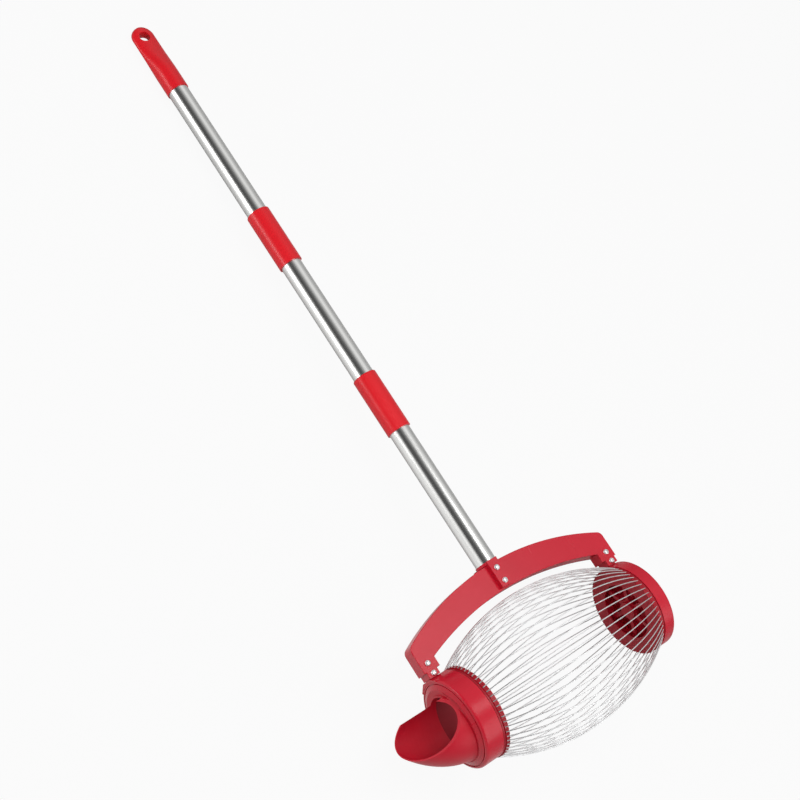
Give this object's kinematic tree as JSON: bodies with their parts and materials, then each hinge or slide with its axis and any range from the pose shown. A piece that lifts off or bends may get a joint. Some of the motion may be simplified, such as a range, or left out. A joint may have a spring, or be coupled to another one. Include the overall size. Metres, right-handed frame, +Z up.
{
  "type": "nut gatherer",
  "caption": "Rolling nut gatherer: a barrel of bowed spring wires turns on a yoke under a sectional steel handle and empties through a slanted pouring spout at one end",
  "frame": {"origin": "Middle of the bottom of the bounding box, on the ground under the gatherer as it lies", "axes": "X along the barrel from the spout to the far end, Y from the barrel towards the hang cap, Z up"},
  "size_m": [0.3591, 1.011, 0.1724],
  "materials": {
    "handle_plastic": "glossy moulded red",
    "body_plastic": "satin moulded red",
    "tube_steel": "polished",
    "spring_wire": "drawn spring wire",
    "zinc_steel": "bright zinc plated"
  },
  "bodies": {
    "frame": {"handle_socket": "body_plastic", "socket_screws": "zinc_steel", "yoke": "body_plastic", "spout_leg_screws": "zinc_steel", "far_leg_screws": "zinc_steel", "spout_housing": "body_plastic", "spout": "body_plastic", "retaining_ring": "body_plastic", "retaining_screws": "zinc_steel", "thrust_washer": "zinc_steel", "axle_pin": "zinc_steel", "end_housing": "body_plastic", "lower_tube": "tube_steel", "lower_thread_insert": "handle_plastic", "lower_coupler": "handle_plastic"},
    "cage": {"spout_wire_ring": "body_plastic", "spout_clamp_ring": "body_plastic", "spout_clamp_screws": "zinc_steel", "cage_wires": "spring_wire", "far_wire_ring": "body_plastic", "end_wheel": "body_plastic", "far_clamp_screws": "zinc_steel", "hub_bush": "zinc_steel"},
    "middle_section": {"middle_tube": "tube_steel", "lower_thread_plug": "handle_plastic", "upper_thread_insert": "handle_plastic", "upper_coupler": "handle_plastic"},
    "upper_section": {"upper_tube": "tube_steel", "upper_thread_plug": "handle_plastic", "hang_cap": "handle_plastic"}
  },
  "joints": [
    {"name": "cage_spin", "type": "hinge", "parent": "frame", "child": "cage", "pos_m": [0, -0.41928, 0.08621], "axis": [1, 0, 0], "continuous": true},
    {"name": "middle_unscrew", "type": "slide", "parent": "frame", "child": "middle_section", "axis": [0, 0.9965, -0.084], "range_m": [0, 0.045]},
    {"name": "upper_unscrew", "type": "slide", "parent": "middle_section", "child": "upper_section", "axis": [0, 0.9965, -0.084], "range_m": [0, 0.045]}
  ]
}
